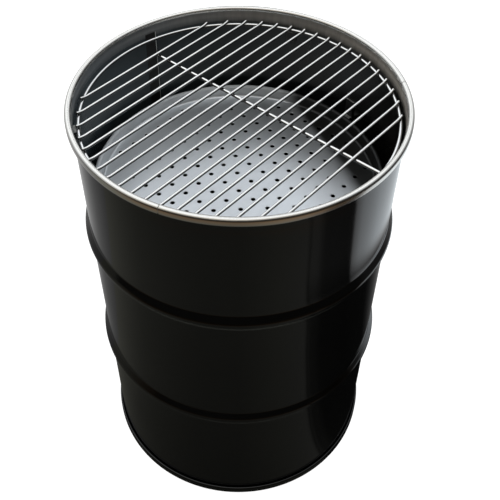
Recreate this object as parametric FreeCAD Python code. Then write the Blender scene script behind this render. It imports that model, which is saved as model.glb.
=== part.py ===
import FreeCAD, Part
import math
import os

from FreeCAD import Vector

# Barrel charcoal grill: a small open steel drum with a bright split rim trim, a lift-out
# round cooking grate and a lift-out perforated charcoal bowl.
#
# Units are millimetres. The origin is the middle of the face the drum stands on, +Z is up
# and the front is -Y. Angles round the drum are measured from +X towards +Y.
#
# Every round sheet-metal piece is drawn as the path its sheet follows in the radius/height
# plane, bend by bend, then given its thickness and turned about the axis.

# ---- driving dimensions -----------------------------------------------------------------
HEIGHT = 538.0                 # overall, floor to the top of the trim
BODY_R = 175.0                 # outside of the drum wall
SHEET = 1.0                    # drum sheet thickness
FIT = 0.1                      # gap left between pieces that touch or are joined

# drum wall
WALL_MID_R = BODY_R - SHEET / 2
WALL_INNER_R = BODY_R - SHEET
HOOP_HEIGHTS = (191.8, 380.5)  # middle of each rolling hoop
HOOP_OUT = 5.3                 # how far a hoop stands out from the wall
HOOP_SLOPE = 34.0              # degrees, the flank of a hoop
HOOP_FOOT_BEND = 4.0
HOOP_CREST_BEND = 8.0

# long weld seam: a flattened lap, proud of the inside of the wall
SEAM_ANGLE = 130.6             # where its right-hand edge is
SEAM_WIDTH = 14.0
SEAM_PROUD = 0.5
SEAM_START = 4.0               # above the chime

# rolled top edge and the trim that is pressed over it, both flattened into a tall oval
TRIM_WIDTH = 6.6
TRIM_HEIGHT = 10.4
TRIM_OUTER_R = 180.9
TRIM_SHEET = 0.7
TRIM_R = (TRIM_WIDTH - TRIM_SHEET) / 2       # middle of the trim's sheet in its two bends
CURL_R = TRIM_R - TRIM_SHEET / 2 - 2 * FIT - SHEET / 2
ROLL_FLAT = TRIM_HEIGHT - TRIM_WIDTH         # straight side between the two bends
ROLL_CENTRE_R = TRIM_OUTER_R - TRIM_WIDTH / 2
ROLL_CENTRE_Z = HEIGHT - TRIM_WIDTH / 2      # centre of the upper bend
CURL_LAST_BEND = 100.0                       # degrees, the lower bend of the drum's own roll
TRIM_LAST_BEND = 110.0
TRIM_LIP = 1.0                               # straight inner edge of the trim
FLARE_BEND = 8.0
FLARE_BELOW = 4.0                            # the wall's flare ends this far under the roll
TRIM_JOINTS = (-108.3, 14.9)                 # where the two halves of the trim meet
TRIM_JOINT_GAP = 0.8

# drum bottom and the double seam that locks it to the wall
SEAM_HOOK_BEND = 1.4            # the wall's own hook, inside the seam
SEAM_HOOK_Z = 4.5
SEAM_HOOK_TOP = 9.0
SEAM_CUP_BEND = 1.7            # the bottom's channel that wraps the hook
SEAM_CUP_FLAT = 1.6
CHIME_TOP_BEND = 1.25
CHIME_HEIGHT = 12.35
COVER_HOOK = 5.0
HEAD_HEIGHT = 13.5             # middle of the head's sheet
HEAD_CORNER = 4.0
HEAD_BEAD_R = 118.0            # where the stiffening step starts
HEAD_BEAD_RISE = 3.0
HEAD_BEAD_WIDTH = 14.0
HEAD_BEAD_BEND = 4.0
HEAD_BEAD_SLOPE = 30.0         # degrees

# cooking grate
GRATE_RING_R = 169.0
GRATE_RING_WIRE = 4.0
GRATE_RING_Z = HEIGHT - 19.5
ROD_WIRE = 3.2
ROD_COUNT = 18
ROD_PITCH = 16.1
ROD_SHIFT = -1.3                # the row of rods sits a little off the ring's middle
ROD_ANGLE = 55.0               # direction the rods run, from +X
ROD_TIP_R = 171.6
ROD_TIP_BEND = 30.0
ROD_TIP_RISE = 1.2
CROSS_WIRE = 3.6
CROSS_OVERHANG = 2.5            # how far it passes the outermost rod
CROSS_SHIFT = 18.0             # cross wire from the middle, along the rods

# charcoal bowl
BOWL_SHEET = 0.8
BOWL_RIM_Z = HEIGHT - 102.3    # top of the rolled rim
BOWL_FLOOR_Z = BOWL_RIM_Z - 13.0
BOWL_RIM_R = 164.1             # outside of the rolled rim
BOWL_ROLL = 2.0                # middle of the sheet in the roll
BOWL_ROLL_SWEEP = 235.0
BOWL_WALL_SLOPE = 80.0
BOWL_LIP_BEND = 3.0
BOWL_CORNER = 4.0
HOLE_DIAMETER = 5.0
HOLE_PITCH = 21.2
HOLE_ANGLE = 54.7
HOLE_SHIFT = (6.1, 9.0)        # the punched grid is off centre, along and across its rows
HOLE_FIELD_R = 149.0

# brackets spot-welded inside the wall
BRACKET_SHEET = 2.0
BRACKET_WIDTH = 12.0
BOWL_BRACKET_ANGLES = (45.0, 185.0, -75.0)
BOWL_BRACKET_REACH = 160.0
BOWL_BRACKET_TOP = HEIGHT - 85.7
GRATE_BRACKET_ANGLES = (75.0, 195.0, -45.0)
GRATE_BRACKET_REACH = 166.8
GRATE_BRACKET_DROP = 16.0


# ---- sheet-metal paths --------------------------------------------------------------------
def direction(angle):
    return Vector(math.cos(math.radians(angle)), 0, math.sin(math.radians(angle)))


def line(length):
    return ("line", length)


def left(radius, angle):
    return ("turn", radius, angle)


def right(radius, angle):
    return ("turn", radius, -angle)


def offset_edges(start, heading, moves, side):
    """Edges of the path moved sideways: side is positive to the left of the heading."""
    edges = []
    here = Vector(start[0], 0, start[1])
    for move in moves:
        normal = direction(heading + 90)
        if move[0] == "line":
            there = here + direction(heading) * move[1]
            if move[1] > 1e-9:
                edges.append(Part.LineSegment(here + normal * side, there + normal * side).toShape())
        else:
            radius, angle = move[1], move[2]
            sign = 1 if angle > 0 else -1
            centre = here + normal * radius * sign
            middle = centre - direction(heading + angle / 2 + 90) * radius * sign
            there = centre - direction(heading + angle + 90) * radius * sign
            points = []
            for point in (here, middle, there):
                outward = (point - centre).normalize()
                points.append(centre + outward * (radius - side * sign))
            edges.append(Part.Arc(*points).toShape())
            heading += angle
        here = there
    return edges


def sheet_section(start, heading, moves, to_left, to_right):
    """Closed section of a sheet that follows the path, with its thickness on each side."""
    left_edges = offset_edges(start, heading, moves, to_left)
    right_edges = offset_edges(start, heading, moves, -to_right)
    first = Part.LineSegment(
        left_edges[0].valueAt(left_edges[0].FirstParameter),
        right_edges[0].valueAt(right_edges[0].FirstParameter),
    ).toShape()
    last = Part.LineSegment(
        left_edges[-1].valueAt(left_edges[-1].LastParameter),
        right_edges[-1].valueAt(right_edges[-1].LastParameter),
    ).toShape()
    ordered = Part.__sortEdges__(left_edges + right_edges + [first, last])
    return Part.Face(Part.Wire(ordered))


def turned(section, start_angle=0.0, sweep=360.0):
    """Turn a section in the radius/height plane about the drum's axis."""
    solid = section.revolve(Vector(0, 0, 0), Vector(0, 0, 1), sweep)
    solid.rotate(Vector(0, 0, 0), Vector(0, 0, 1), start_angle)
    if solid.ShapeType != "Solid":
        solid = solid.Solids[0]
    return solid


def angle_for(width, radius):
    return math.degrees(width / radius)


# ---- drum ---------------------------------------------------------------------------------
def hoop_moves():
    """Sheet path over one rolling hoop, and half the hoop's height."""
    slope = math.radians(HOOP_SLOPE)
    bends = HOOP_FOOT_BEND + HOOP_CREST_BEND
    flank = (HOOP_OUT - bends * (1 - math.cos(slope))) / math.sin(slope)
    half_height = bends * math.sin(slope) + flank * math.cos(slope)
    moves = [
        right(HOOP_FOOT_BEND, HOOP_SLOPE),
        line(flank),
        left(HOOP_CREST_BEND, 2 * HOOP_SLOPE),
        line(flank),
        right(HOOP_FOOT_BEND, HOOP_SLOPE),
    ]
    return moves, half_height


def flare():
    """Slope and height of the double bend that carries the wall out to its rolled edge."""
    shift = ROLL_CENTRE_R - CURL_R - WALL_MID_R
    slope = math.degrees(math.acos(1 - shift / (2 * FLARE_BEND)))
    return slope, 2 * FLARE_BEND * math.sin(math.radians(slope))


def wall_moves(bottom_z, top_z):
    """Sheet path straight up the wall, over both hoops."""
    hoop, half_height = hoop_moves()
    moves = []
    z = bottom_z
    for middle in HOOP_HEIGHTS:
        moves.append(line(middle - half_height - z))
        moves += hoop
        z = middle + half_height
    moves.append(line(top_z - z))
    return moves


def drum_shell():
    slope, flare_height = flare()
    wall_top = ROLL_CENTRE_Z - FLARE_BELOW - flare_height
    hook = [line(SEAM_HOOK_TOP - SEAM_HOOK_Z), right(SEAM_HOOK_BEND, 180)]
    roll = [
        right(FLARE_BEND, slope),
        left(FLARE_BEND, slope),
        line(FLARE_BELOW),
        right(CURL_R, 180),
        line(ROLL_FLAT),
        right(CURL_R, CURL_LAST_BEND),
    ]
    section = sheet_section(
        (WALL_MID_R + 2 * SEAM_HOOK_BEND, SEAM_HOOK_TOP),
        -90,
        hook + wall_moves(SEAM_HOOK_Z, wall_top) + roll,
        SHEET / 2,
        SHEET / 2,
    )
    seam_bottom = CHIME_HEIGHT + SEAM_START
    seam = sheet_section(
        (WALL_MID_R, seam_bottom),
        90,
        wall_moves(seam_bottom, wall_top),
        SHEET / 2 + SEAM_PROUD,
        0,
    )
    seam_sweep = angle_for(SEAM_WIDTH, WALL_INNER_R)
    return turned(section).fuse(turned(seam, SEAM_ANGLE, seam_sweep))


def drum_bottom():
    wall_r = WALL_INNER_R - FIT - SHEET / 2
    outer_r = wall_r + 2 * SEAM_CUP_BEND + SEAM_CUP_FLAT
    cup_z = SEAM_CUP_BEND + SHEET / 2
    chime_z = CHIME_HEIGHT - SHEET / 2 - CHIME_TOP_BEND
    tilt = math.radians(HEAD_BEAD_SLOPE)
    bead_flank = (HEAD_BEAD_RISE - 2 * HEAD_BEAD_BEND * (1 - math.cos(tilt))) / math.sin(tilt)
    bead_run = 2 * HEAD_BEAD_BEND * math.sin(tilt) + bead_flank * math.cos(tilt)
    head_edge = wall_r - HEAD_CORNER
    moves = [
        line(HEAD_BEAD_R),
        left(HEAD_BEAD_BEND, HEAD_BEAD_SLOPE),
        line(bead_flank),
        right(HEAD_BEAD_BEND, HEAD_BEAD_SLOPE),
        line(HEAD_BEAD_WIDTH),
        right(HEAD_BEAD_BEND, HEAD_BEAD_SLOPE),
        line(bead_flank),
        left(HEAD_BEAD_BEND, HEAD_BEAD_SLOPE),
        line(head_edge - HEAD_BEAD_R - 2 * bead_run - HEAD_BEAD_WIDTH),
        right(HEAD_CORNER, 90),
        line(HEAD_HEIGHT - HEAD_CORNER - cup_z),
        left(SEAM_CUP_BEND, 90),
        line(SEAM_CUP_FLAT),
        left(SEAM_CUP_BEND, 90),
        line(chime_z - cup_z),
        left(CHIME_TOP_BEND, 180),
        line(COVER_HOOK),
    ]
    return turned(sheet_section((0, HEAD_HEIGHT), 0, moves, SHEET / 2, SHEET / 2))


def rim_trim(first_joint, second_joint):
    """One length of the split trim, from one joint to the next."""
    half_gap = angle_for(TRIM_JOINT_GAP / 2, ROLL_CENTRE_R)
    moves = [
        line(TRIM_LIP),
        right(TRIM_R, 180),
        line(ROLL_FLAT),
        right(TRIM_R, TRIM_LAST_BEND),
    ]
    start = (ROLL_CENTRE_R - TRIM_R, ROLL_CENTRE_Z - TRIM_LIP)
    section = sheet_section(start, 90, moves, TRIM_SHEET / 2, TRIM_SHEET / 2)
    sweep = second_joint - first_joint - 2 * half_gap
    return turned(section, first_joint + half_gap, sweep)


# ---- brackets -----------------------------------------------------------------------------
def bracket(angle, reach_r, shelf_top, upright_low, upright_high):
    """An L of flat steel against the inside of the wall, with a shelf pointing inward."""
    back_r = WALL_INNER_R - FIT / 2
    face_r = back_r - BRACKET_SHEET
    shelf_bottom = shelf_top - BRACKET_SHEET
    corners = [(reach_r, shelf_bottom)]
    if upright_low < shelf_bottom:
        corners += [(face_r, shelf_bottom), (face_r, upright_low)]
    corners.append((back_r, min(upright_low, shelf_bottom)))
    corners.append((back_r, max(upright_high, shelf_top)))
    if upright_high > shelf_top:
        corners += [(face_r, upright_high), (face_r, shelf_top)]
    corners.append((reach_r, shelf_top))
    points = [Vector(r, 0, z) for r, z in corners]
    section = Part.Face(Part.makePolygon(points + points[:1]))
    sweep = angle_for(BRACKET_WIDTH, WALL_INNER_R)
    return turned(section, angle - sweep / 2, sweep)


def bowl_bracket(angle):
    shelf_top = BOWL_RIM_Z - 2 * BOWL_ROLL - BOWL_SHEET - FIT
    return bracket(angle, BOWL_BRACKET_REACH, shelf_top, shelf_top, BOWL_BRACKET_TOP)


def grate_bracket(angle):
    shelf_top = GRATE_RING_Z - GRATE_RING_WIRE / 2 - FIT
    upright_low = shelf_top - GRATE_BRACKET_DROP
    return bracket(angle, GRATE_BRACKET_REACH, shelf_top, upright_low, shelf_top)


# ---- cooking grate ------------------------------------------------------------------------
def rod_tip_slope():
    return math.acos(1 - ROD_TIP_RISE / ROD_TIP_BEND)


def rod_height():
    """Middle of the rods over their straight run: their raised ends lie on the ring."""
    over_ring = (GRATE_RING_WIRE + ROD_WIRE) / 2 / math.cos(rod_tip_slope()) + FIT
    return GRATE_RING_Z + over_ring - ROD_TIP_RISE


def grate_ring():
    ring = Part.makeTorus(GRATE_RING_R, GRATE_RING_WIRE / 2)
    ring.translate(Vector(0, 0, GRATE_RING_Z))
    return ring


def placed_on_grate(shape, across):
    """Turn a piece drawn along X to the rods' direction and move it across the grate."""
    shape.rotate(Vector(0, 0, 0), Vector(0, 0, 1), ROD_ANGLE)
    heading = math.radians(ROD_ANGLE)
    shape.translate(Vector(math.sin(heading), -math.cos(heading), 0) * across)
    return shape


def rod_across(number):
    return (number - (ROD_COUNT + 1) / 2) * ROD_PITCH + ROD_SHIFT


def grate_rod(number):
    across = rod_across(number)
    tip_x = math.sqrt(ROD_TIP_R ** 2 - (abs(across) + ROD_WIRE / 2) ** 2)
    ring_x = math.sqrt(GRATE_RING_R ** 2 - across ** 2)
    slope = rod_tip_slope()
    bend_x = ring_x - ROD_TIP_BEND * math.sin(slope)
    middle_x = bend_x + ROD_TIP_BEND * math.sin(slope / 2)
    low = rod_height()
    middle_z = low + ROD_TIP_BEND * (1 - math.cos(slope / 2))
    ring_z = low + ROD_TIP_RISE
    tip_z = ring_z + (tip_x - ring_x) * math.tan(slope)

    def end(side):
        tail = Part.LineSegment(Vector(side * ring_x, 0, ring_z), Vector(side * tip_x, 0, tip_z))
        bend = Part.Arc(
            Vector(side * bend_x, 0, low),
            Vector(side * middle_x, 0, middle_z),
            Vector(side * ring_x, 0, ring_z),
        )
        return [tail.toShape(), bend.toShape()]

    straight = Part.LineSegment(Vector(-bend_x, 0, low), Vector(bend_x, 0, low)).toShape()
    path = Part.Wire(Part.__sortEdges__(end(-1) + [straight] + end(1)))
    start = path.OrderedVertexes[0].Point
    along = path.OrderedVertexes[1].Point - start
    circle = Part.Wire([Part.makeCircle(ROD_WIRE / 2, start, along)])
    rod = path.makePipeShell([circle], True, False)
    return placed_on_grate(rod, across)


def grate_cross_wire():
    """Lies under the rods, from the outermost rod on the left to the ring on the right."""
    height = rod_height() - (ROD_WIRE + CROSS_WIRE) / 2 - FIT
    left_end = rod_across(1) - CROSS_OVERHANG
    inner_r = GRATE_RING_R - GRATE_RING_WIRE / 2 - 3 * FIT
    right_end = math.sqrt(inner_r ** 2 - (CROSS_SHIFT + CROSS_WIRE / 2) ** 2)
    start = Vector(CROSS_SHIFT, -left_end, height)
    wire = Part.makeCylinder(CROSS_WIRE / 2, right_end - left_end, start, Vector(0, -1, 0))
    return placed_on_grate(wire, 0)


# ---- charcoal bowl ------------------------------------------------------------------------
def punched_holes():
    """The square grid of holes in the bowl's floor."""
    rows = int(HOLE_FIELD_R / HOLE_PITCH) + 2
    holes = []
    for i in range(-rows, rows + 1):
        for j in range(-rows, rows + 1):
            x = i * HOLE_PITCH + HOLE_SHIFT[0]
            y = j * HOLE_PITCH + HOLE_SHIFT[1]
            if math.hypot(x, y) < HOLE_FIELD_R:
                hole = Part.makeCylinder(HOLE_DIAMETER / 2, 6, Vector(x, y, BOWL_FLOOR_Z - 3))
                holes.append(hole)
    grid = Part.makeCompound(holes)
    grid.rotate(Vector(0, 0, 0), Vector(0, 0, 1), HOLE_ANGLE)
    return grid


def coal_bowl():
    slope = math.radians(BOWL_WALL_SLOPE)
    bends = BOWL_CORNER + BOWL_LIP_BEND
    rise = BOWL_RIM_Z - BOWL_FLOOR_Z
    wall = (rise - bends * (1 - math.cos(slope))) / math.sin(slope)
    roll_r = BOWL_RIM_R - BOWL_SHEET / 2 - BOWL_ROLL
    floor_r = roll_r - bends * math.sin(slope) - wall * math.cos(slope)
    moves = [
        line(floor_r),
        left(BOWL_CORNER, BOWL_WALL_SLOPE),
        line(wall),
        right(BOWL_LIP_BEND, BOWL_WALL_SLOPE),
        right(BOWL_ROLL, BOWL_ROLL_SWEEP),
    ]
    start = (0, BOWL_FLOOR_Z - BOWL_SHEET / 2)
    section = sheet_section(start, 0, moves, BOWL_SHEET / 2, BOWL_SHEET / 2)
    return turned(section).cut(punched_holes())


# ---- write every piece --------------------------------------------------------------------
def pieces():
    yield "drum_shell", drum_shell()
    yield "drum_bottom", drum_bottom()
    yield "rim_trim_front", rim_trim(TRIM_JOINTS[0], TRIM_JOINTS[1])
    yield "rim_trim_back", rim_trim(TRIM_JOINTS[1], TRIM_JOINTS[0] + 360)
    for number, angle in enumerate(BOWL_BRACKET_ANGLES, 1):
        yield f"bowl_bracket_{number}", bowl_bracket(angle)
    for number, angle in enumerate(GRATE_BRACKET_ANGLES, 1):
        yield f"grate_bracket_{number}", grate_bracket(angle)
    yield "grate_ring", grate_ring()
    yield "grate_cross_wire", grate_cross_wire()
    for number in range(1, ROD_COUNT + 1):
        yield f"grate_rod_{number:02d}", grate_rod(number)
    yield "coal_bowl", coal_bowl()


os.makedirs("parts", exist_ok=True)
for name, shape in pieces():
    if shape.ShapeType != "Solid":
        assert len(shape.Solids) == 1, name
        shape = shape.Solids[0]
    assert shape.isValid(), name
    shape.exportStep(f"parts/{name}.step")
    box = shape.BoundBox
    print(f"{name}: volume {shape.Volume:.0f}, z {box.ZMin:.1f} to {box.ZMax:.1f}")
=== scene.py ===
import math

import bmesh
import bpy
from mathutils import Matrix, Vector, noise
from mathutils.geometry import delaunay_2d_cdt


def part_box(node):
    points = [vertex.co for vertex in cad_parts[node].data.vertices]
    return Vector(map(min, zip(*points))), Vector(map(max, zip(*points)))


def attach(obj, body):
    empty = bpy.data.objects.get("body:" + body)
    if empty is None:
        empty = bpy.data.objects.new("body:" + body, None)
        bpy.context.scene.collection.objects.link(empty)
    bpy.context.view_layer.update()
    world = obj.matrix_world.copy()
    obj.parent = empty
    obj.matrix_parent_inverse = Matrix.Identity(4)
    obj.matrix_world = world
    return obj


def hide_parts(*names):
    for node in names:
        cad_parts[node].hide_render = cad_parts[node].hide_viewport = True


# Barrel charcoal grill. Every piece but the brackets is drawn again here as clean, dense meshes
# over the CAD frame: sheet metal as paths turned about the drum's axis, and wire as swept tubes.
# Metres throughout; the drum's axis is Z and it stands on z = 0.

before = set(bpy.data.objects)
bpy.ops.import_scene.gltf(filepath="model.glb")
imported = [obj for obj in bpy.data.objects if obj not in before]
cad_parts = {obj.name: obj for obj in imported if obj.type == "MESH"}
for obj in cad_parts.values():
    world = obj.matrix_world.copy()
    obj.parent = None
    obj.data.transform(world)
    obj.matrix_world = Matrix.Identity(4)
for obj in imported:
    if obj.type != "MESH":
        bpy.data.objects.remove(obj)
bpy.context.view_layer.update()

MM = 0.001

# ---- sizes read from the frame --------------------------------------------------------------
TRIM_LOW, TRIM_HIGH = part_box("rim_trim_back")
TOP = TRIM_HIGH.z
RING_LOW, RING_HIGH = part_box("grate_ring")
BOWL_LOW, BOWL_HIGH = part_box("coal_bowl")
BOTTOM_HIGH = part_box("drum_bottom")[1]

# ---- drum -----------------------------------------------------------------------------------
SHEET = 1.0 * MM
WALL_R = 174.5 * MM            # middle of the wall's sheet
HOOP_HEIGHTS = (191.8 * MM, 380.5 * MM)
HOOP_OUT = 5.3 * MM
HOOP_SLOPE = 34.0
HOOP_FOOT_BEND = 4.0 * MM
HOOP_CREST_BEND = 8.0 * MM
CHIME_TOP = 12.35 * MM
SEAM_ANGLE = 130.6
SEAM_WIDTH = 14.0 * MM
SEAM_PROUD = 0.5 * MM
SEAM_EDGE = 0.9 * MM            # width of the edge painted bright: worn to steel near the grate, and a painted highlight along it
HIGHLIGHT_BELOW_HOOP = 11.0 * MM      # middle of the painted highlight line under each hoop
TRIM_WIDTH = 6.6 * MM
TRIM_SHEET = 0.7 * MM
TRIM_R = (TRIM_WIDTH - TRIM_SHEET) / 2
CURL_R = TRIM_R - TRIM_SHEET / 2 - 0.2 * MM - SHEET / 2
ROLL_FLAT = 3.8 * MM
ROLL_CENTRE_R = -TRIM_LOW.x - TRIM_WIDTH / 2
ROLL_CENTRE_Z = TOP - TRIM_WIDTH / 2
CURL_LAST_BEND = 100.0
TRIM_LAST_BEND = 110.0
TRIM_LIP = 1.0 * MM
FLARE_BEND = 8.0 * MM
FLARE_BELOW = 4.0 * MM
TRIM_JOINTS = (-108.3, 14.9)
TRIM_JOINT_GAP = 0.8 * MM

# ---- grate ----------------------------------------------------------------------------------
RING_WIRE = RING_HIGH.z - RING_LOW.z
RING_R = RING_HIGH.x - RING_WIRE / 2
RING_Z = (RING_HIGH.z + RING_LOW.z) / 2
ROD_COUNT = 18
ROD_PITCH = 16.1 * MM
ROD_SHIFT = -1.3 * MM
ROD_WIRE = 3.2 * MM
ROD_ANGLE = math.radians(55.0)
ROD_TIP_R = 171.6 * MM
ROD_TIP_BEND = 30.0 * MM
ROD_TIP_RISE = 1.2 * MM
CROSS_WIRE = 3.6 * MM
CROSS_SHIFT = 18.0 * MM

# ---- bowl -----------------------------------------------------------------------------------
BOWL_SHEET = 0.8 * MM
BOWL_RIM_Z = BOWL_HIGH.z
BOWL_RIM_R = BOWL_HIGH.x
BOWL_FLOOR_Z = BOWL_LOW.z + BOWL_SHEET
BOWL_ROLL = 2.0 * MM
BOWL_ROLL_SWEEP = 235.0
BOWL_WALL_SLOPE = 80.0
BOWL_LIP_BEND = 3.0 * MM
BOWL_CORNER = 4.0 * MM
HOLE_R = 2.5 * MM
HOLE_PITCH = 21.2 * MM
HOLE_ANGLE = math.radians(54.7)
HOLE_SHIFT = (6.1 * MM, 9.0 * MM)
HOLE_FIELD_R = 149.0 * MM

ROUND = 288                    # steps round the drum


# ---- sheet-metal paths ----------------------------------------------------------------------
def line(length):
    return ("line", length)


def left(radius, angle):
    return ("turn", radius, angle)


def right(radius, angle):
    return ("turn", radius, -angle)


def side_points(start, heading, moves, side, longest=10 * MM, finest=7.0):
    """Points (radius, height) along a path, moved sideways: positive is left of the heading."""
    r, z = start
    points = []

    def normal(angle):
        turn = math.radians(angle + 90)
        return math.cos(turn), math.sin(turn)

    def put(along, up, angle):
        nr, nz = normal(angle)
        points.append((along + nr * side, up + nz * side))

    put(r, z, heading)
    for move in moves:
        if move[0] == "line":
            steps = max(1, math.ceil(move[1] / longest))
            dr = math.cos(math.radians(heading)) * move[1]
            dz = math.sin(math.radians(heading)) * move[1]
            for step in range(1, steps + 1):
                put(r + dr * step / steps, z + dz * step / steps, heading)
            r, z = r + dr, z + dz
        else:
            radius, angle = move[1], move[2]
            sign = 1 if angle > 0 else -1
            nr, nz = normal(heading)
            centre_r, centre_z = r + nr * radius * sign, z + nz * radius * sign
            steps = max(2, math.ceil(abs(angle) / finest))
            for step in range(1, steps + 1):
                turned = heading + angle * step / steps
                nr, nz = normal(turned)
                put(centre_r - nr * radius * sign, centre_z - nz * radius * sign, turned)
            nr, nz = normal(heading + angle)
            r, z = centre_r - nr * radius * sign, centre_z - nz * radius * sign
            heading += angle
    return points


def sheet_outline(start, heading, moves, to_left, to_right):
    """Closed outline of a sheet, and how many of its points are on the left side."""
    one_side = side_points(start, heading, moves, to_left)
    other_side = side_points(start, heading, moves, -to_right)
    return one_side + other_side[::-1], len(one_side)


# ---- mesh helpers ---------------------------------------------------------------------------
def add_object(name, data):
    """A new object in the scene, at the origin."""
    added = bpy.data.objects.new(name, data)
    bpy.context.scene.collection.objects.link(added)
    return added


def finish_mesh(name, bm, body, materials, sharp=38.0, nodes=()):
    """Turn a bmesh into a smooth-shaded piece that rides on a body."""
    mesh = bpy.data.meshes.new(name)
    bm.normal_update()
    bm.to_mesh(mesh)
    bm.free()
    mesh.shade_smooth()
    mesh.set_sharp_from_angle(angle=math.radians(sharp))
    for material in materials:
        mesh.materials.append(material)
    piece = add_object(name, mesh)
    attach(piece, body)
    if nodes:
        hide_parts(*nodes)
    return piece


def lathe(outline, start_angle=0.0, sweep=360.0, steps=ROUND, one_side=None, shift=None):
    """Turn a closed outline about Z. Faces of the first side get material 0, the rest 1."""
    bm = bmesh.new()
    whole = abs(sweep - 360.0) < 1e-6
    count = steps if whole else max(2, math.ceil(steps * sweep / 360.0)) + 1
    rings = []
    for step in range(count):
        part = step / count if whole else step / (count - 1)
        angle = math.radians(start_angle + sweep * part)
        ring = []
        for r, z in outline:
            away = r + (shift(angle, z, r) if shift and r > 0 else 0.0)
            ring.append(bm.verts.new((away * math.cos(angle), away * math.sin(angle), z)))
        rings.append(ring)
    total = len(outline)
    for step in range(count if whole else count - 1):
        here, there = rings[step], rings[(step + 1) % count]
        for point in range(total):
            after = (point + 1) % total
            face = bm.faces.new((here[point], there[point], there[after], here[after]))
            if one_side is not None and point >= one_side - 1:
                face.material_index = 1
    if not whole:
        bm.faces.new(rings[0])
        bm.faces.new(rings[-1][::-1])
    bmesh.ops.remove_doubles(bm, verts=bm.verts, dist=1e-7)
    bmesh.ops.recalc_face_normals(bm, faces=bm.faces)
    return bm


def tube(bm, path, radius, sides=14, round_ends=True):
    """Sweep a round wire along a list of points, with its tips slightly rounded."""
    stations = []
    for index, point in enumerate(path):
        before = path[max(index - 1, 0)]
        after = path[min(index + 1, len(path) - 1)]
        stations.append((point, (after - before).normalized(), radius))
    if round_ends:
        soft = radius * 0.35
        first, first_dir, _ = stations[0]
        last, last_dir, _ = stations[-1]
        stations[0] = (first + first_dir * soft, first_dir, radius)
        stations[-1] = (last - last_dir * soft, last_dir, radius)
        stations.insert(0, (first + first_dir * soft * 0.3, first_dir, radius * 0.9))
        stations.insert(0, (first, first_dir, radius * 0.68))
        stations.append((last - last_dir * soft * 0.3, last_dir, radius * 0.9))
        stations.append((last, last_dir, radius * 0.68))
    rings = []
    for centre, along, size in stations:
        across = along.cross(Vector((0, 0, 1))).normalized()
        upward = across.cross(along).normalized()
        ring = []
        for side in range(sides):
            angle = 2 * math.pi * side / sides
            offset = across * math.cos(angle) + upward * math.sin(angle)
            ring.append(bm.verts.new(centre + offset * size))
        rings.append(ring)
    for here, there in zip(rings, rings[1:]):
        for side in range(sides):
            after = (side + 1) % sides
            bm.faces.new((here[side], here[after], there[after], there[side]))
    bm.faces.new(rings[0][::-1])
    bm.faces.new(rings[-1])


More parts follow.
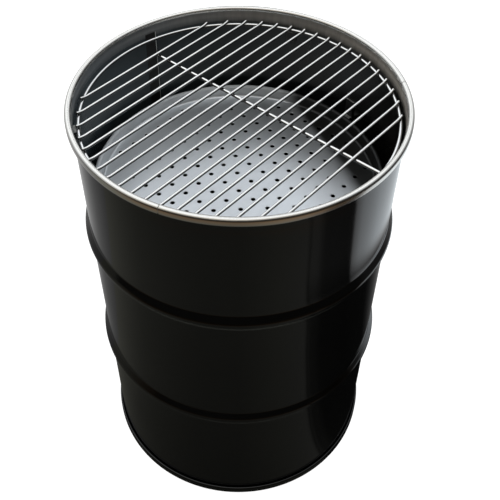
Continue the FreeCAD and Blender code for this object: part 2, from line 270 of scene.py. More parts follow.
# ---- materials ------------------------------------------------------------------------------
class Graph:
    """Short calls for adding nodes to one node tree, and the place being shaded."""

    def __init__(self, tree, coordinates):
        self.nodes = tree.nodes
        self.links = tree.links
        self.place = self.nodes.new("ShaderNodeTexCoord").outputs[coordinates]
        split = self.nodes.new("ShaderNodeSeparateXYZ")
        self.links.new(self.place, split.inputs[0])
        self.x, self.y, self.z = split.outputs

    def join(self, source, target):
        if isinstance(source, (int, float)):
            target.default_value = source
        else:
            self.links.new(source, target)

    def math(self, operation, first, second=0.0, clamp=False):
        node = self.nodes.new("ShaderNodeMath")
        node.operation = operation
        node.use_clamp = clamp
        self.join(first, node.inputs[0])
        self.join(second, node.inputs[1])
        return node.outputs[0]

    def span(self, value, low, high, to_low=0.0, to_high=1.0, smooth=False):
        node = self.nodes.new("ShaderNodeMapRange")
        node.interpolation_type = "SMOOTHSTEP" if smooth else "LINEAR"
        self.join(value, node.inputs["Value"])
        node.inputs["From Min"].default_value = low
        node.inputs["From Max"].default_value = high
        node.inputs["To Min"].default_value = to_low
        node.inputs["To Max"].default_value = to_high
        return node.outputs["Result"]

    def ramp(self, value, stops):
        """Look a value up along brightnesses given as (position, brightness) pairs."""
        low, high = stops[0][0], stops[-1][0]
        node = self.nodes.new("ShaderNodeValToRGB")
        self.links.new(self.span(value, low, high), node.inputs[0])
        elements = node.color_ramp.elements
        for index, (position, brightness) in enumerate(stops):
            if index >= len(elements):
                elements.new(1.0)
            elements[index].position = (position - low) / (high - low)
            elements[index].color = (brightness, brightness, brightness, 1.0)
        return node.outputs["Color"]

    def angle(self):
        """Degrees round the vertical axis, from -180 to 180."""
        return self.math("MULTIPLY", self.math("ARCTAN2", self.y, self.x), 180 / math.pi)

    def distance(self):
        """Distance out from the vertical axis."""
        x_squared = self.math("MULTIPLY", self.x, self.x)
        y_squared = self.math("MULTIPLY", self.y, self.y)
        return self.math("SQRT", self.math("ADD", x_squared, y_squared))

    def toward(self, degrees):
        """How far out the place lies in one direction round the axis."""
        turn = math.radians(degrees)
        along_x = self.math("MULTIPLY", self.x, math.cos(turn))
        return self.math("ADD", along_x, self.math("MULTIPLY", self.y, math.sin(turn)))

    def facing_up(self):
        """Height of the surface's own direction: 1 on top, 0 on a wall, -1 underneath."""
        split = self.nodes.new("ShaderNodeSeparateXYZ")
        self.links.new(self.nodes.new("ShaderNodeNewGeometry").outputs["Normal"], split.inputs[0])
        return split.outputs[2]

    def stretched(self, x, y, z):
        """The place in the object with each axis multiplied, to stretch a pattern."""
        node = self.nodes.new("ShaderNodeVectorMath")
        node.operation = "MULTIPLY"
        self.links.new(self.place, node.inputs[0])
        node.inputs[1].default_value = (x, y, z)
        return node.outputs[0]

    def round_place(self, turns, across, up):
        """Coordinates that follow the drum's axis: angle, distance from it, and height."""
        node = self.nodes.new("ShaderNodeCombineXYZ")
        self.links.new(self.math("MULTIPLY", self.angle(), turns * math.pi / 180), node.inputs[0])
        self.links.new(self.math("MULTIPLY", self.distance(), across), node.inputs[1])
        self.links.new(self.math("MULTIPLY", self.z, up), node.inputs[2])
        return node.outputs[0]

    def noise(self, scale, detail=3.0, rough=0.55, place=None):
        node = self.nodes.new("ShaderNodeTexNoise")
        self.links.new(place or self.place, node.inputs["Vector"])
        node.inputs["Scale"].default_value = scale
        node.inputs["Detail"].default_value = detail
        node.inputs["Roughness"].default_value = rough
        return node.outputs["Fac"]

    def blend(self, factor, first, second):
        """Mix two colours, given as tuples or sockets."""
        node = self.nodes.new("ShaderNodeMix")
        node.data_type = "RGBA"
        self.join(factor, node.inputs["Factor"])
        for value, socket in ((first, node.inputs[6]), (second, node.inputs[7])):
            if isinstance(value, tuple):
                socket.default_value = (*value, 1.0)
            else:
                self.links.new(value, socket)
        return node.outputs[2]

    def bump(self, height, distance, strength=1.0, under=None):
        node = self.nodes.new("ShaderNodeBump")
        node.inputs["Strength"].default_value = strength
        node.inputs["Distance"].default_value = distance
        self.links.new(height, node.inputs["Height"])
        if under is not None:
            self.links.new(under, node.inputs["Normal"])
        return node.outputs["Normal"]


class Shader(Graph):
    """A new material with its Principled node, ready for detail nodes."""

    def __init__(self, name, **values):
        self.material = bpy.data.materials.new(name)
        self.material.use_nodes = True
        super().__init__(self.material.node_tree, "Object")
        self.surface = self.nodes["Principled BSDF"]
        for socket, value in values.items():
            self.surface.inputs[socket.replace("_", " ")].default_value = value

    def set(self, socket, source):
        self.links.new(source, self.surface.inputs[socket])


def drum_paint():
    """Gloss black stoved paint: orange peel, panel waves, dust, and a painted highlight line under
    each hoop.
    """
    s = Shader("drum_paint", Specular_IOR_Level=0.5)
    haze = s.noise(9.0, 4.0)
    dust = s.noise(900.0, 2.0, 0.7)
    specks = s.span(dust, 0.70, 0.78)
    base = s.blend(haze, (0.0006, 0.0007, 0.0007), (0.0016, 0.0016, 0.0014))
    base = s.blend(s.math("MULTIPLY", specks, 0.25), base, (0.03, 0.03, 0.028))
    # Painted highlight: a lighter line painted just under each hoop, where the hoop's lower edge
    # catches the light.
    painted_highlight = 0.0
    for height in HOOP_HEIGHTS:
        off = s.math("ABSOLUTE", s.math("SUBTRACT", s.z, height - HIGHLIGHT_BELOW_HOOP))
        painted_highlight = s.math("ADD", s.span(off, 0.6 * MM, 2.4 * MM, 1.0, 0.0, smooth=True), painted_highlight)
    s.set("Base Color", s.blend(painted_highlight, base, (0.016, 0.017, 0.015)))
    smears = s.noise(26.0, 5.0, 0.6, s.stretched(1.0, 1.0, 0.25))
    s.set("Roughness", s.span(smears, 0.3, 0.75, 0.05, 0.11))
    peel = s.noise(420.0, 2.0, 0.5)
    waves = s.noise(7.0, 1.0, 0.4)
    panel = s.bump(waves, 2 * MM, 0.5)
    s.set("Normal", s.bump(peel, 0.05 * MM, 0.3, panel))
    return s.material


def inside_paint():
    """Inside paint: black, with painted light: blue-grey over the left and a grey band round the
    mouth, and painted shade that makes the left darker further down.
    """
    s = Shader("drum_inside")
    edge_noise = s.noise(60.0, 4.0, 0.6, s.round_place(2.0, 0.0, 1.0))
    wander = s.math("MULTIPLY", s.math("SUBTRACT", edge_noise, 0.5), 3 * MM)
    # Painted light: a grey band painted round the mouth above the grate ring, standing for the light
    # that falls in there, with the wall below it left black as shade.
    band = s.span(s.math("ADD", s.z, wander), RING_Z - 2 * MM, RING_Z + 9 * MM, smooth=True)
    streak = s.noise(3.0, 5.0, 0.65, s.round_place(9.0, 0.0, 3.0))
    wear_and_painted_light = s.math("MULTIPLY", band, s.span(streak, 0.2, 0.8, 0.75, 1.0))
    # Painted light: the left of the inside is painted a lighter blue-grey, standing for the light it
    # gets.
    painted_light_left = s.ramp(s.angle(), (
        (-180, 0.9), (-140, 0.5), (-90, 0.0), (40, 0.0),
        (95, 0.3), (128, 0.8), (150, 1.0), (180, 0.9),
    ))
    cloud = s.span(s.noise(14.0, 4.0, 0.6), 0.3, 0.7, 0.8, 1.1)
    # Painted shade: this lighter left is painted darker further down inside the drum.
    painted_shade_lower = s.span(s.z, TOP - 160 * MM, TOP - 20 * MM, 0.35, 1.0)
    painted_light_left = s.math("MULTIPLY", s.math("MULTIPLY", painted_light_left, cloud), painted_shade_lower)
    black = s.blend(painted_light_left, (0.006, 0.006, 0.005), (0.070, 0.092, 0.106))
    grey = s.blend(streak, (0.26, 0.24, 0.21), (0.46, 0.42, 0.37))
    grey = s.blend(s.math("MULTIPLY", painted_light_left, 0.9), grey, (0.22, 0.25, 0.28))
    s.set("Base Color", s.blend(wear_and_painted_light, black, grey))
    s.set("Metallic", s.math("MULTIPLY", wear_and_painted_light, 0.35))
    s.set("Roughness", s.span(wear_and_painted_light, 0.0, 1.0, 0.22, 0.42))
    s.set("Normal", s.bump(s.noise(300.0, 2.0), 0.04 * MM, 0.3))
    return s.material


def seam_paint():
    """Paint burned dull over the weld seam."""
    s = Shader("seam_paint")
    burn = s.noise(120.0, 5.0, 0.65)
    s.set("Base Color", s.blend(burn, (0.004, 0.004, 0.004), (0.014, 0.013, 0.012)))
    s.set("Roughness", s.span(burn, 0.3, 0.7, 0.42, 0.6))
    s.set("Normal", s.bump(burn, 0.3 * MM, 0.4))
    return s.material


def edge_wear_and_highlight():
    """The seam's proud edge: worn to steel where the grate slides past it, and a painted highlight
    where the edge catches the light.
    """
    s = Shader("seam_edge_wear_and_highlight")
    # Partly wear, partly painted highlight: a bright stretch below the mouth where the grate rubs the
    # edge.
    grate_rub_and_highlight = s.span(s.z, TOP - 46 * MM, TOP - 34 * MM, smooth=True)
    top = s.span(s.z, TOP - 14 * MM, TOP - 11 * MM, 1.0, 0.0, smooth=True)
    grain = s.noise(500.0, 3.0)
    wear_and_painted_light = s.math("MULTIPLY", s.math("MULTIPLY", grate_rub_and_highlight, top), s.span(grain, 0.2, 0.5, 0.7, 1.0))
    # Painted highlight: bright patches painted all along the proud edge, where it catches the light.
    wear_and_painted_light = s.math("MAXIMUM", wear_and_painted_light, s.span(s.noise(70.0, 3.0), 0.35, 0.65, 0.25, 0.8))
    s.set("Base Color", s.blend(wear_and_painted_light, (0.012, 0.012, 0.013), (0.86, 0.87, 0.86)))
    s.set("Metallic", s.math("MULTIPLY", wear_and_painted_light, 0.6))
    s.set("Roughness", s.span(grain, 0.0, 1.0, 0.25, 0.45))
    return s.material


def rim_steel():
    """Rolled stainless trim: bright, faintly warm, with fine marks running round it."""
    s = Shader("rim_steel", Metallic=1.0)
    tone = s.noise(5.0, 4.0, 0.6)
    marks = s.noise(2.0, 6.0, 0.75, s.round_place(3.0, 900.0, 900.0))
    base = s.blend(tone, (0.74, 0.72, 0.68), (0.84, 0.83, 0.80))
    s.set("Base Color", s.blend(s.span(marks, 0.55, 0.8, 0.0, 0.35), base, (0.60, 0.58, 0.54)))
    s.set("Roughness", s.span(marks, 0.25, 0.75, 0.18, 0.26))
    s.set("Normal", s.bump(marks, 0.05 * MM, 0.3))
    return s.material


def wire_steel(name, tint):
    """Bright plated wire with drawn marks, dulled in places, with painted shade darkening its
    underside.
    """
    s = Shader(name)
    patch = s.noise(38.0, 4.0, 0.6)
    fine = s.noise(700.0, 3.0, 0.6)
    bright = s.blend(patch, (0.84, 0.84, 0.83), tint)
    bright = s.blend(s.span(fine, 0.6, 0.8, 0.0, 0.3), bright, (0.55, 0.54, 0.52))
    # Painted shade: the underside of each wire is painted dark and its top bright, as the light falls
    # from above.
    edge = s.math("ADD", s.facing_up(), s.math("MULTIPLY", s.math("SUBTRACT", patch, 0.5), 0.2))
    painted_light_on_top = s.span(edge, 0.42, 0.64)
    s.set("Base Color", s.blend(painted_light_on_top, (0.02, 0.02, 0.018), bright))
    s.set("Metallic", painted_light_on_top)
    s.set("Roughness", s.span(patch, 0.3, 0.7, 0.12, 0.2))
    s.set("Normal", s.bump(fine, 0.03 * MM, 0.3))
    return s.material


def bowl_steel():
    """Satin stainless sheet: faint spun marks, smears, a duller left, and a painted dark reflection
    over its far right.
    """
    s = Shader("bowl_steel")
    spun = s.noise(1.0, 3.0, 0.6, s.round_place(1.2, 420.0, 420.0))
    smear = s.noise(16.0, 5.0, 0.65)
    steel = s.blend(smear, (0.82, 0.86, 0.90), (0.90, 0.94, 0.98))
    steel = s.blend(s.span(spun, 0.55, 0.85, 0.0, 0.08), steel, (0.50, 0.51, 0.52))
    out = s.math("ADD", s.toward(30), s.math("MULTIPLY", s.math("SUBTRACT", smear, 0.5), 8 * MM))
    # Painted reflection: the steel is painted darker toward the far right, and nearly black at the
    # edge, standing for the dark drum wall mirrored in it.
    steel = s.blend(s.span(out, 30 * MM, 112 * MM, 0.0, 0.5, smooth=True), steel, (0.2, 0.2, 0.2))
    painted_dark_reflection = s.span(out, 106 * MM, 126 * MM, smooth=True)
    s.set("Base Color", s.blend(painted_dark_reflection, steel, (0.006, 0.006, 0.005)))
    wall = s.span(s.z, BOWL_FLOOR_Z + 2 * MM, BOWL_FLOOR_Z + 5 * MM)
    dulled = s.span(s.toward(190), -20 * MM, 140 * MM, 0.2, 0.5, smooth=True)
    metal = s.math("SUBTRACT", 1.0, s.math("MAXIMUM", dulled, s.math("MULTIPLY", wall, 0.85)))
    s.set("Metallic", s.math("MULTIPLY", metal, s.span(painted_dark_reflection, 0.0, 1.0, 1.0, 0.0)))
    rough = s.span(smear, 0.3, 0.75, 0.285, 0.33)
    s.set("Roughness", s.math("ADD", rough, s.math("MULTIPLY", wall, 0.12)))
    s.set("Normal", s.bump(s.noise(9.0, 1.0), 1 * MM, 0.2))
    return s.material


def bracket_paint():
    """Black flat-steel brackets, the paint scuffed to grey along their upper faces."""
    s = Shader("bracket_paint")
    scuff = s.noise(260.0, 4.0, 0.65)
    up = s.span(s.facing_up(), 0.5, 0.9)
    wear_and_painted_light = s.math("MULTIPLY", up, s.span(scuff, 0.3, 0.55))
    s.set("Base Color", s.blend(wear_and_painted_light, (0.012, 0.012, 0.012), (0.5, 0.5, 0.48)))
    s.set("Metallic", s.math("MULTIPLY", wear_and_painted_light, 0.5))
    s.set("Roughness", s.span(scuff, 0.3, 0.7, 0.3, 0.45))
    return s.material


# ---- drum -----------------------------------------------------------------------------------
def hoop_moves():
    slope = math.radians(HOOP_SLOPE)
    bends = HOOP_FOOT_BEND + HOOP_CREST_BEND
    flank = (HOOP_OUT - bends * (1 - math.cos(slope))) / math.sin(slope)
    half_height = bends * math.sin(slope) + flank * math.cos(slope)
    moves = [
        right(HOOP_FOOT_BEND, HOOP_SLOPE),
        line(flank),
        left(HOOP_CREST_BEND, 2 * HOOP_SLOPE),
        line(flank),
        right(HOOP_FOOT_BEND, HOOP_SLOPE),
    ]
    return moves, half_height


def flare():
    shift = ROLL_CENTRE_R - CURL_R - WALL_R
    slope = math.acos(1 - shift / (2 * FLARE_BEND))
    return math.degrees(slope), 2 * FLARE_BEND * math.sin(slope)


def wall_moves(bottom_z, top_z):
    hoop, half_height = hoop_moves()
    moves = []
    z = bottom_z
    for middle in HOOP_HEIGHTS:
        moves.append(line(middle - half_height - z))
        moves += hoop
        z = middle + half_height
    moves.append(line(top_z - z))
    return moves


def panel_wave(angle, z, r):
    """Slight unevenness of the rolled wall, fading out at the hoops, foot and mouth."""
    calm = min(1.0, max(0.0, (z - 25 * MM) / (40 * MM)))
    calm *= min(1.0, max(0.0, (TOP - 35 * MM - z) / (40 * MM)))
    for middle in HOOP_HEIGHTS:
        calm *= min(1.0, max(0.0, (abs(z - middle) - 14 * MM) / (30 * MM)))
    spot = Vector((math.cos(angle) * 1.6, math.sin(angle) * 1.6, z * 7.0))
    return noise.noise(spot) * 0.35 * MM * calm


def build_drum(outside, inside):
    slope, flare_height = flare()
    wall_top = ROLL_CENTRE_Z - FLARE_BELOW - flare_height
    hook_bend = 1.4 * MM
    hook_z = 4.5 * MM
    hook_top = 9.0 * MM
    hook = [line(hook_top - hook_z), right(hook_bend, 180)]
    roll = [
        right(FLARE_BEND, slope),
        left(FLARE_BEND, slope),
        line(FLARE_BELOW),
        right(CURL_R, 180),
        line(ROLL_FLAT),
        right(CURL_R, CURL_LAST_BEND),
    ]
    outline, inner_count = sheet_outline(
        (WALL_R + 2 * hook_bend, hook_top),
        -90,
        hook + wall_moves(hook_z, wall_top) + roll,
        SHEET / 2,
        SHEET / 2,
    )
    bm = lathe(outline, one_side=inner_count, shift=panel_wave)
    return finish_mesh("drum_wall", bm, "drum", [inside, outside], nodes=["drum_shell"])


def build_bottom(paint):
    cup_bend = 1.7 * MM
    cup_flat = 1.6 * MM
    top_bend = 1.25 * MM
    head_z = 13.5 * MM
    corner = 4.0 * MM
    wall_r = WALL_R - SHEET - 0.1 * MM
    top_bend_z = CHIME_TOP - SHEET / 2 - top_bend
    bead_r = 118 * MM
    bead_bend = 4.0 * MM
    bead_slope = 30.0
    bead_width = 14.0 * MM
    tilt = math.radians(bead_slope)
    bead_rise = BOTTOM_HIGH.z - head_z - SHEET / 2
    flank = (bead_rise - 2 * bead_bend * (1 - math.cos(tilt))) / math.sin(tilt)
    run = 2 * bead_bend * math.sin(tilt) + flank * math.cos(tilt)
    cup_z = cup_bend + SHEET / 2
    moves = [
        line(bead_r),
        left(bead_bend, bead_slope),
        line(flank),
        right(bead_bend, bead_slope),
        line(bead_width),
        right(bead_bend, bead_slope),
        line(flank),
        left(bead_bend, bead_slope),
        line(wall_r - corner - bead_r - 2 * run - bead_width),
        right(corner, 90),
        line(head_z - corner - cup_z),
        left(cup_bend, 90),
        line(cup_flat),
        left(cup_bend, 90),
        line(top_bend_z - cup_z),
        left(top_bend, 180),
        line(5.0 * MM),
    ]
    outline, _ = sheet_outline((0.0, head_z), 0, moves, SHEET / 2, SHEET / 2)
    return finish_mesh("drum_base", lathe(outline), "drum", [paint], nodes=["drum_bottom"])


def build_seam(paint, edge):
    """The flattened lap of the long weld, proud of the inside of the wall."""
    _, flare_height = flare()
    low = BOTTOM_HIGH.z
    high = ROLL_CENTRE_Z - FLARE_BELOW - flare_height
    inner_r = WALL_R - SHEET / 2
    sweep = math.degrees(SEAM_WIDTH / inner_r)
    face = side_points((WALL_R, low), 90, wall_moves(low, high), SHEET / 2 + SEAM_PROUD)
    back = side_points((WALL_R, low), 90, wall_moves(low, high), SHEET / 2 - 0.1 * MM)
    bm = bmesh.new()
    columns = []
    edge_sweep = math.degrees(SEAM_EDGE / inner_r)
    profile = [(0.0, back), (0.08 * edge_sweep, face), (edge_sweep, face)]
    profile += [(edge_sweep + (sweep - edge_sweep) * part / 6, face) for part in range(1, 6)]
    profile += [(sweep * 0.985, face), (sweep, back)]
    for turn, side in profile:
        angle = math.radians(SEAM_ANGLE + turn)
        columns.append([bm.verts.new((r * math.cos(angle), r * math.sin(angle), z)) for r, z in side])
    for index, (here, there) in enumerate(zip(columns, columns[1:])):
        for lower in range(len(here) - 1):
            strip = bm.faces.new((here[lower], here[lower + 1], there[lower + 1], there[lower]))
            strip.material_index = 1 if index < 2 else 0
    bmesh.ops.recalc_face_normals(bm, faces=bm.faces)
    middle = math.radians(SEAM_ANGLE + sweep / 2)
    inward = Vector((-math.cos(middle), -math.sin(middle), 0))
    if sum((f.normal for f in bm.faces), Vector()).dot(inward) < 0:
        bmesh.ops.reverse_faces(bm, faces=bm.faces)
    return finish_mesh("drum_weld_seam", bm, "drum", [paint, edge])


def build_trim(name, node, first_joint, second_joint, steel):
    """One length of the split trim that is pressed over the rolled edge."""
    half_gap = math.degrees(TRIM_JOINT_GAP / 2 / ROLL_CENTRE_R)
    moves = [
        line(TRIM_LIP),
        right(TRIM_R, 180),
        line(ROLL_FLAT),
        right(TRIM_R, TRIM_LAST_BEND),
    ]
    start = (ROLL_CENTRE_R - TRIM_R, ROLL_CENTRE_Z - TRIM_LIP)
    outline, _ = sheet_outline(start, 90, moves, TRIM_SHEET / 2, TRIM_SHEET / 2)
    sweep = second_joint - first_joint - 2 * half_gap
    bm = lathe(outline, first_joint + half_gap, sweep)
    return finish_mesh(name, bm, "drum", [steel], nodes=[node])


def dress_brackets(paint):
    for name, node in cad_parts.items():
        if "bracket" in name:
            node.data.materials.clear()
            node.data.materials.append(paint)


# ---- cooking grate --------------------------------------------------------------------------
ALONG = Vector((math.cos(ROD_ANGLE), math.sin(ROD_ANGLE), 0))
ACROSS = Vector((math.sin(ROD_ANGLE), -math.cos(ROD_ANGLE), 0))
UP = Vector((0, 0, 1))
TIP_SLOPE = math.acos(1 - ROD_TIP_RISE / ROD_TIP_BEND)
OVER_RING = (RING_WIRE + ROD_WIRE) / 2 / math.cos(TIP_SLOPE) + 0.1 * MM
ROD_Z = RING_Z + OVER_RING - ROD_TIP_RISE


def rod_across(number):
    return (number - (ROD_COUNT + 1) / 2) * ROD_PITCH + ROD_SHIFT


def rod_path(across):
    """Points along a rod: straight in the middle, both ends bent up to lie on the ring."""
    tip = math.sqrt(ROD_TIP_R ** 2 - (abs(across) + ROD_WIRE / 2) ** 2)
    ring = math.sqrt(RING_R ** 2 - across ** 2)
    bend = ring - ROD_TIP_BEND * math.sin(TIP_SLOPE)
    half = []
    for step in range(1, 7):
        half.append((bend * step / 7, 0.0))
    for step in range(0, 9):
        turned = TIP_SLOPE * step / 8
        half.append((bend + ROD_TIP_BEND * math.sin(turned), ROD_TIP_BEND * (1 - math.cos(turned))))
    half.append((tip, ROD_TIP_RISE + (tip - ring) * math.tan(TIP_SLOPE)))
    path = [(-x, rise) for x, rise in reversed(half)] + [(0.0, 0.0)] + half
    return [ACROSS * across + ALONG * x + UP * (ROD_Z + rise) for x, rise in path], ring


def weld_nugget(bm, centre, first, second, size):
    """A small squashed bead of weld metal where two wires cross."""
    before = set(bm.verts)
    bmesh.ops.create_icosphere(bm, subdivisions=2, radius=1.0)
    added = [v for v in bm.verts if v not in before]
    middle = (first + second).normalized()
    turn = middle.to_track_quat("X", "Z").to_matrix()
    for vert in added:
        lump = 1 + 0.18 * noise.noise(vert.co * 1.7 + centre * 900)
        stretched = Vector((vert.co.x * 1.15, vert.co.y * 0.95, vert.co.z * 0.8)) * size * lump
        vert.co = centre + turn @ stretched


def build_grate(rod_steel, ring_steel):
    outline = []
    for step in range(20):
        angle = 2 * math.pi * step / 20
        r = RING_R + RING_WIRE / 2 * math.cos(angle)
        outline.append((r, RING_Z + RING_WIRE / 2 * math.sin(angle)))
    ring = lathe(outline)
    finish_mesh("grate_hoop", ring, "grate", [ring_steel], nodes=["grate_ring"])

    welds = bmesh.new()
    for number in range(1, ROD_COUNT + 1):
        across = rod_across(number)
        path, ring_x = rod_path(across)
        bm = bmesh.new()
        tube(bm, path, ROD_WIRE / 2)
        name = f"grate_bar_{number:02d}"
        finish_mesh(name, bm, "grate", [rod_steel], nodes=[f"grate_rod_{number:02d}"])
        for side in (-1, 1):
            crossing = ACROSS * across + ALONG * ring_x * side
            tangent = UP.cross(crossing.normalized())
            centre = crossing + UP * (RING_Z + RING_WIRE / 2)
            weld_nugget(welds, centre, ALONG, tangent, 1.35 * MM)
        centre = ACROSS * across + ALONG * CROSS_SHIFT + UP * (ROD_Z - ROD_WIRE / 2)
        weld_nugget(welds, centre, ALONG, ACROSS, 1.25 * MM)

    height = ROD_Z - (ROD_WIRE + CROSS_WIRE) / 2 - 0.1 * MM
    left_end = rod_across(1) - 2.5 * MM
    inner_r = RING_R - RING_WIRE / 2 - 0.3 * MM
    right_end = math.sqrt(inner_r ** 2 - (CROSS_SHIFT + CROSS_WIRE / 2) ** 2)
    points = []
    for step in range(25):
        x = left_end + (right_end - left_end) * step / 24
        points.append(ACROSS * x + ALONG * CROSS_SHIFT + UP * height)
    bm = bmesh.new()
    tube(bm, points, CROSS_WIRE / 2)
    finish_mesh("grate_cross_bar", bm, "grate", [rod_steel], nodes=["grate_cross_wire"])
    end = ACROSS * (right_end + 0.4 * MM) + ALONG * CROSS_SHIFT + UP * (height + 0.6 * MM)
    weld_nugget(welds, end, ACROSS, ALONG, 1.7 * MM)
    finish_mesh("grate_welds", welds, "grate", [ring_steel], sharp=180.0)


# ---- charcoal bowl --------------------------------------------------------------------------
def hole_centres():
    """The punched grid: square, turned to the rods' direction, and off centre."""
    rows = int(HOLE_FIELD_R / HOLE_PITCH) + 2
    turn = Matrix.Rotation(HOLE_ANGLE, 2)
    for i in range(-rows, rows + 1):
        for j in range(-rows, rows + 1):
            spot = Vector((i * HOLE_PITCH + HOLE_SHIFT[0], j * HOLE_PITCH + HOLE_SHIFT[1]))
            if spot.length < HOLE_FIELD_R:
                yield turn @ spot


def circle(centre, radius, steps, start=0.0):
    points = []
    for step in range(steps):
        angle = start + 2 * math.pi * step / steps
        x = centre[0] + radius * math.cos(angle)
        points.append(Vector((x, centre[1] + radius * math.sin(angle))))
    return points


def pierced_disc(bm, z, edge_r, hole_r, holes, steps=20):
    """A flat disc with round holes. Returns the vertices round each hole."""
    corners = circle((0, 0), edge_r, ROUND)
    faces = [list(range(ROUND))]
    for hole in holes:
        first = len(corners)
        corners += circle(hole, hole_r, steps)
        faces.append(list(range(first, first + steps)))
    edges = []
    for loop in faces:
        edges += [(a, b) for a, b in zip(loop, loop[1:] + loop[:1])]
    points, _, triangles, _, _, _ = delaunay_2d_cdt(corners, edges, [], 0, 1e-7)
    verts = [bm.verts.new((p.x, p.y, z)) for p in points]
    spacing = 2 * HOLE_PITCH
    buckets = {}
    for hole in holes:
        buckets.setdefault((int(hole.x // spacing), int(hole.y // spacing)), []).append(hole)
    for triangle in triangles:
        middle = sum((points[index] for index in triangle), Vector((0, 0))) / 3
        cell_x, cell_y = int(middle.x // spacing), int(middle.y // spacing)
        near = []
        for dx in (-1, 0, 1):
            for dy in (-1, 0, 1):
                near += buckets.get((cell_x + dx, cell_y + dy), [])
        if all((middle - hole).length > hole_r * 0.98 for hole in near):
            bm.faces.new([verts[index] for index in triangle])
    loops = []
    for index in range(len(holes)):
        first = ROUND + index * steps
        loops.append(verts[first:first + steps])
    return loops


def build_bowl(steel):
    slope = math.radians(BOWL_WALL_SLOPE)
    bends = BOWL_CORNER + BOWL_LIP_BEND
    rise = BOWL_RIM_Z - BOWL_FLOOR_Z
    wall = (rise - bends * (1 - math.cos(slope))) / math.sin(slope)
    roll_r = BOWL_RIM_R - BOWL_SHEET / 2 - BOWL_ROLL
    floor_r = roll_r - bends * math.sin(slope) - wall * math.cos(slope)
    middle_z = BOWL_FLOOR_Z - BOWL_SHEET / 2
    moves = [
        left(BOWL_CORNER, BOWL_WALL_SLOPE),
        line(wall),
        right(BOWL_LIP_BEND, BOWL_WALL_SLOPE),
        right(BOWL_ROLL, BOWL_ROLL_SWEEP),
    ]
    outline, _ = sheet_outline((floor_r, middle_z), 0, moves, BOWL_SHEET / 2, BOWL_SHEET / 2)
    bm = lathe(outline)
    joins = [v for v in bm.verts if abs(math.hypot(v.co.x, v.co.y) - floor_r) < 1e-6]
    inner = [f for f in bm.faces if all(v in joins for v in f.verts)]
    bmesh.ops.delete(bm, geom=inner, context="FACES_ONLY")

    holes = list(hole_centres())
    lip = 0.45 * MM
    top = pierced_disc(bm, BOWL_FLOOR_Z, floor_r, HOLE_R + lip, holes)
    bottom = pierced_disc(bm, BOWL_FLOOR_Z - BOWL_SHEET, floor_r, HOLE_R, holes)
    steps = len(top[0])
    for hole, upper, lower in zip(holes, top, bottom):
        throat = []
        for point in circle(hole, HOLE_R + lip * 0.15, steps):
            throat.append(bm.verts.new((point.x, point.y, BOWL_FLOOR_Z - 0.28 * MM)))
        waist = []
        for point in circle(hole, HOLE_R, steps):
            waist.append(bm.verts.new((point.x, point.y, BOWL_FLOOR_Z - 0.5 * MM)))
        for first, second in ((upper, throat), (throat, waist), (waist, lower)):
            for index in range(steps):
                after = (index + 1) % steps
                bm.faces.new((first[index], first[after], second[after], second[index]))
    bmesh.ops.remove_doubles(bm, verts=bm.verts, dist=1e-6)
    bmesh.ops.recalc_face_normals(bm, faces=bm.faces)
    finish_mesh("charcoal_bowl", bm, "coal_bowl", [steel], sharp=30.0, nodes=["coal_bowl"])


# ---- room -----------------------------------------------------------------------------------
STAGE_HALF = 12.0              # half the side of the level planes
WALLS_HALF = 11.0              # how far off the backdrop's walls stand
WALLS_BOTTOM = -1.0
WALLS_TOP = 14.0
WHITE = (1, 1, 1, 1)

# The photograph's viewpoint, with the lens for a sensor 36 mm wide
CAMERA_PLACE = (68.1 * MM, -672.8 * MM, 1039.2 * MM)
CAMERA_YAW = -0.0810           # radians
CAMERA_PITCH = 0.8282          # looking down
CAMERA_ROLL = 0.0188
CAMERA_LENS = 57.28
CAMERA_SENSOR = 36.0


def hide_from(thing, *rays):
    """Keep an object out of some of the renderer's rays, such as glossy or shadow."""
    for ray in rays:
        setattr(thing, "visible_" + ray, False)


def stage_plane(name, height):
    """A large level plane that belongs to the studio, not to the grill."""
    mesh = bpy.data.meshes.new(name)
    far = STAGE_HALF
    corners = [(-far, -far, 0), (far, -far, 0), (far, far, 0), (-far, far, 0)]
    mesh.from_pydata(corners, [], [(0, 1, 2, 3)])
    plane = add_object(name, mesh)
    plane.location.z = height
    return plane


def build_floor():
    """The plain white floor under the grill."""
    floor = stage_plane("floor", -0.05 * MM)
    s = Shader("floor", Roughness=0.9, Specular_IOR_Level=0.0, Emission_Strength=0.95)
    s.surface.inputs["Base Color"].default_value = (0.4, 0.4, 0.4, 1)
    s.surface.inputs["Emission Color"].default_value = WHITE
    floor.data.materials.append(s.material)
    hide_from(floor, "glossy")


def build_backdrop():
    """Four plain white walls far round the grill. Only the camera sees them."""
    mesh = bpy.data.meshes.new("backdrop")
    off = WALLS_HALF
    corners = [(-off, -off), (off, -off), (off, off), (-off, off)]
    points = [(x, y, z) for z in (WALLS_BOTTOM, WALLS_TOP) for x, y in corners]
    sides = [(i, (i + 1) % 4, (i + 1) % 4 + 4, i + 4) for i in range(4)]
    mesh.from_pydata(points, [], sides)
    walls = add_object("backdrop", mesh)
    s = Shader("backdrop", Specular_IOR_Level=0.0, Emission_Strength=1.0)
    s.surface.inputs["Base Color"].default_value = (0, 0, 0, 1)
    s.surface.inputs["Emission Color"].default_value = WHITE
    mesh.materials.append(s.material)
    hide_from(walls, "glossy", "diffuse", "transmission", "shadow")


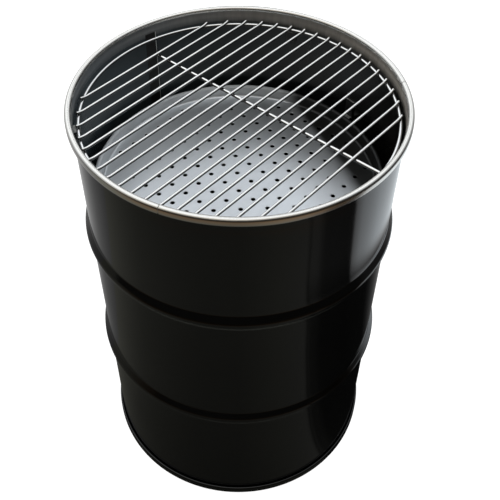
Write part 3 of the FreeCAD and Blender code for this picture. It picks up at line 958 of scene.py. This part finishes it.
def build_mirrored_floor():
    """What the polished parts see below the horizon: a dim warm grey floor, darker close to
    the drum, with one narrow dark gap, and a big white card lying off to the right."""
    plane = stage_plane("mirrored_floor", -0.1 * MM)
    s = Shader("mirrored_floor")
    s.nodes.remove(s.surface)
    angle = s.angle()
    distance = s.distance()
    around = s.ramp(angle, (
        (-180, 0.18), (-150, 0.12), (-108, 0.10), (-84, 0.10), (-59, 0.14), (-41, 0.15),
        (-40, 0.04), (-38, 0.13), (-34, 0.12), (-29, 0.05), (-9, 0.03), (15, 0.03),
        (50, 0.5), (125, 0.6), (142, 0.5), (155, 0.38), (166, 0.26), (180, 0.18),
    ))
    near = s.ramp(distance, ((0.18, 0.33), (0.25, 0.45), (0.36, 0.62), (0.5, 0.9), (0.6, 1.0)))
    open_side = s.ramp(angle, (
        (-180, 0.0), (100, 0.0), (125, 0.9), (145, 0.85), (170, 0.2), (180, 0.0),
    ))
    near = s.math("MAXIMUM", near, open_side)
    shaded_side = s.ramp(angle, ((-41, 1.0), (-37, 0.3), (20, 0.3), (50, 1.0)))
    near = s.math("MULTIPLY", near, s.math("MAXIMUM", shaded_side, s.span(distance, 0.40, 0.54)))
    front = s.ramp(angle, ((-165, 0.0), (-140, 1.0), (-15, 1.0), (0, 0.0)))
    far = s.math("MULTIPLY", front, s.span(distance, 0.75, 1.1))
    grey = s.math("MULTIPLY", s.math("MULTIPLY", around, near), s.span(far, 0.0, 1.0, 1.0, 0.25))
    card = s.ramp(angle, ((-6.5, 0.0), (-4.5, 0.45), (2, 0.8), (20, 1.0), (70, 0.9), (110, 0.0)))
    card = s.math("MULTIPLY", card, s.span(distance, 0.45, 0.52, smooth=True))
    card = s.math("MULTIPLY", card, s.span(distance, 0.8, 1.1, 1.0, 0.1))
    tint = s.blend(s.span(angle, -60, -20), (1.0, 1.0, 0.86), (1.0, 1.0, 1.0))
    tint = s.blend(s.math("MULTIPLY", front, s.span(distance, 0.66, 0.72)), tint, (1.5, 1.0, 0.6))
    color = s.blend(card, tint, (0.94, 1.01, 1.06))
    glow = s.nodes.new("ShaderNodeEmission")
    s.links.new(color, glow.inputs["Color"])
    s.links.new(s.math("MAXIMUM", grey, card), glow.inputs["Strength"])
    s.links.new(glow.outputs[0], s.nodes["Material Output"].inputs["Surface"])
    plane.data.materials.append(s.material)
    hide_from(plane, "camera", "diffuse", "transmission", "shadow")


def build_sky():
    """Soft light from above and behind, dark low down in front, with a gap between lights."""
    world = bpy.data.worlds.new("studio")
    bpy.context.scene.world = world
    world.use_nodes = True
    s = Graph(world.node_tree, "Generated")
    lean = s.math("ADD", s.z, s.math("MULTIPLY", s.y, 0.5))
    lean = s.math("SUBTRACT", lean, s.math("MULTIPLY", s.math("MAXIMUM", s.x, 0.0), 0.6))
    light = s.ramp(lean, (
        (-0.6, 0.02), (0.04, 0.03), (0.10, 0.3), (0.3, 0.42), (0.6, 0.5), (0.72, 1.0), (1.1, 1.0),
    ))
    angle = s.angle()
    gap = s.ramp(angle, ((91, 1.0), (92.5, 0.3), (97, 0.35), (99, 1.0)))
    low = s.span(s.z, 0.85, 0.95, 0.0, 1.0, smooth=True)
    light = s.math("MULTIPLY", light, s.math("MAXIMUM", gap, low))
    background = s.nodes["Background"]
    cool = s.math("MAXIMUM", s.span(lean, 0.6, 0.8), s.span(s.y, -0.4, 0.0))
    color = s.blend(cool, (1.0, 0.95, 0.86), (0.97, 1.0, 1.03))
    s.links.new(color, background.inputs["Color"])
    s.links.new(s.math("MULTIPLY", light, 1.25), background.inputs["Strength"])


def build_camera():
    """The photograph's viewpoint: above the front, looking down at about 47 degrees."""
    forward = Vector((
        math.sin(CAMERA_YAW) * math.cos(CAMERA_PITCH),
        math.cos(CAMERA_YAW) * math.cos(CAMERA_PITCH),
        -math.sin(CAMERA_PITCH),
    ))
    level = Vector((math.cos(CAMERA_YAW), -math.sin(CAMERA_YAW), 0))
    upright = level.cross(forward)
    side = level * math.cos(CAMERA_ROLL) + upright * math.sin(CAMERA_ROLL)
    head = upright * math.cos(CAMERA_ROLL) - level * math.sin(CAMERA_ROLL)
    camera = add_object("camera", bpy.data.cameras.new("camera"))
    turn = Matrix((side, head, -forward)).transposed()
    camera.matrix_world = Matrix.Translation(CAMERA_PLACE) @ turn.to_4x4()
    camera.data.sensor_width = CAMERA_SENSOR
    camera.data.lens = CAMERA_LENS
    camera.data.clip_end = 50.0
    bpy.context.scene.camera = camera


# ---- build ----------------------------------------------------------------------------------
paint = drum_paint()
wire = wire_steel("grate_wire", (0.86, 0.85, 0.83))
ring_wire = wire_steel("grate_ring_wire", (0.88, 0.88, 0.88))
steel = rim_steel()
build_drum(paint, inside_paint())
build_bottom(paint)
build_seam(seam_paint(), edge_wear_and_highlight())
build_trim("trim_length_front", "rim_trim_front", TRIM_JOINTS[0], TRIM_JOINTS[1], steel)
build_trim("trim_length_back", "rim_trim_back", TRIM_JOINTS[1], TRIM_JOINTS[0] + 360, steel)
dress_brackets(bracket_paint())
build_grate(wire, ring_wire)
build_bowl(bowl_steel())
build_floor()
build_backdrop()
build_mirrored_floor()
build_sky()
build_camera()
bpy.context.scene.view_settings.view_transform = "Standard"
